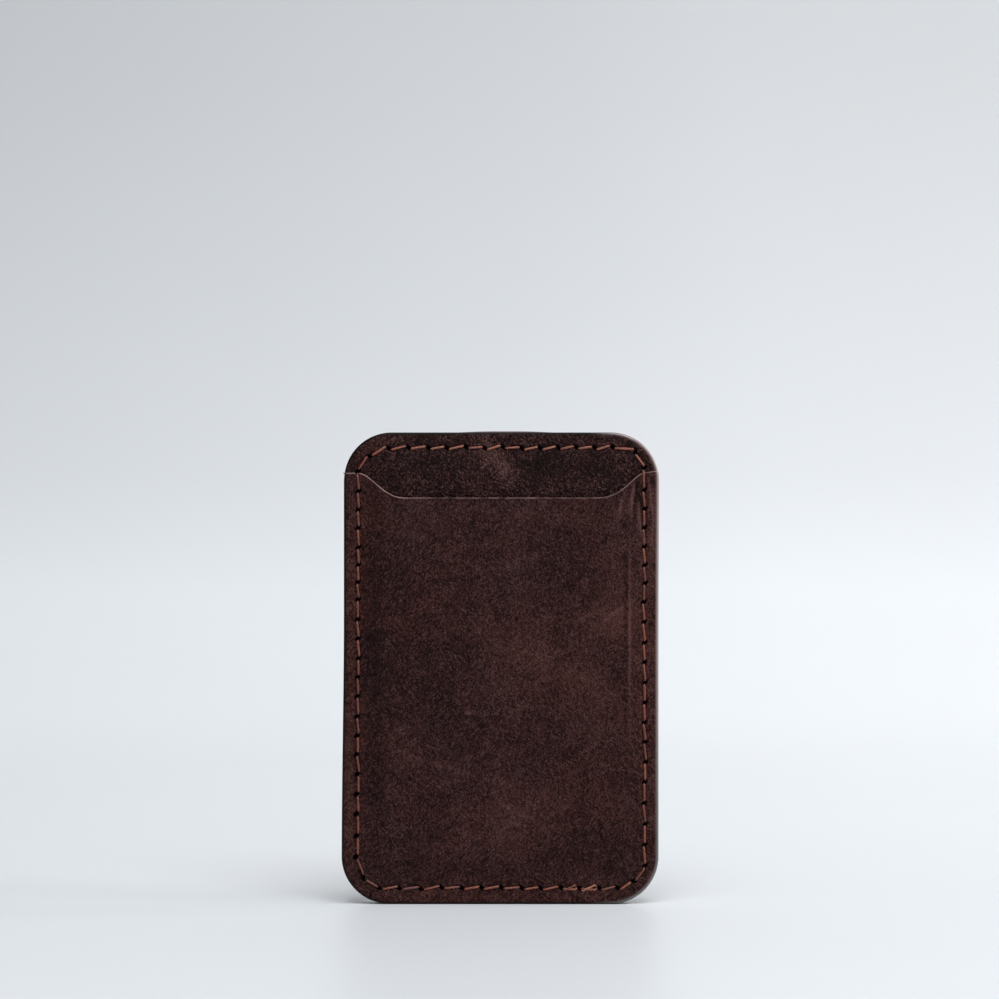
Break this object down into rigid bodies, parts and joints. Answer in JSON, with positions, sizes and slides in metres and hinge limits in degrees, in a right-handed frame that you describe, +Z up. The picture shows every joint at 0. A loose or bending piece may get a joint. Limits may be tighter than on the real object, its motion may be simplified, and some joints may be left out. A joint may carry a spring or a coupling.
{
  "type": "minimalist wallet",
  "caption": "Slim upright leather card wallet with a scooped card pocket, stitched edge and a magnet ring that snaps on to the back of a phone.",
  "frame": {"origin": "middle of the bottom edge, on the surface it stands on, midway through its thickness", "axes": "+Z up the wallet from its bottom edge to its top edge; +X across its width; -Y out of the card pocket's side, +Y out of the side that lies against the phone"},
  "size_m": [0.066, 0.0058, 0.099],
  "materials": {
    "leather": "dark brown waxed pull-up cowhide, grain side out, burnished edges",
    "board": "bonded leather board, raw",
    "steel": "cold-rolled strip, bare",
    "magnet": "nickel-plated neodymium",
    "film": "double-sided adhesive film",
    "thread": "waxed twisted polyester thread, rust brown"
  },
  "bodies": {
    "root": {"front_pocket_panel": "leather", "card_panel": "leather", "shield_plate": "steel", "stiffener_board": "board", "shunt_ring": "steel", "shunt_bar": "steel", "ring_magnet_1": "magnet", "ring_magnet_2": "magnet", "ring_magnet_3": "magnet", "ring_magnet_4": "magnet", "ring_magnet_5": "magnet", "ring_magnet_6": "magnet", "ring_magnet_7": "magnet", "ring_magnet_8": "magnet", "ring_magnet_9": "magnet", "ring_magnet_10": "magnet", "ring_magnet_11": "magnet", "ring_magnet_12": "magnet", "ring_magnet_13": "magnet", "ring_magnet_14": "magnet", "ring_magnet_15": "magnet", "ring_magnet_16": "magnet", "ring_magnet_17": "magnet", "ring_magnet_18": "magnet", "upper_bar_magnet": "magnet", "lower_bar_magnet": "magnet", "ring_film": "film", "bar_film": "film", "rear_panel": "leather", "needle_thread": "thread", "bobbin_thread": "thread"}
  },
  "joints": []
}
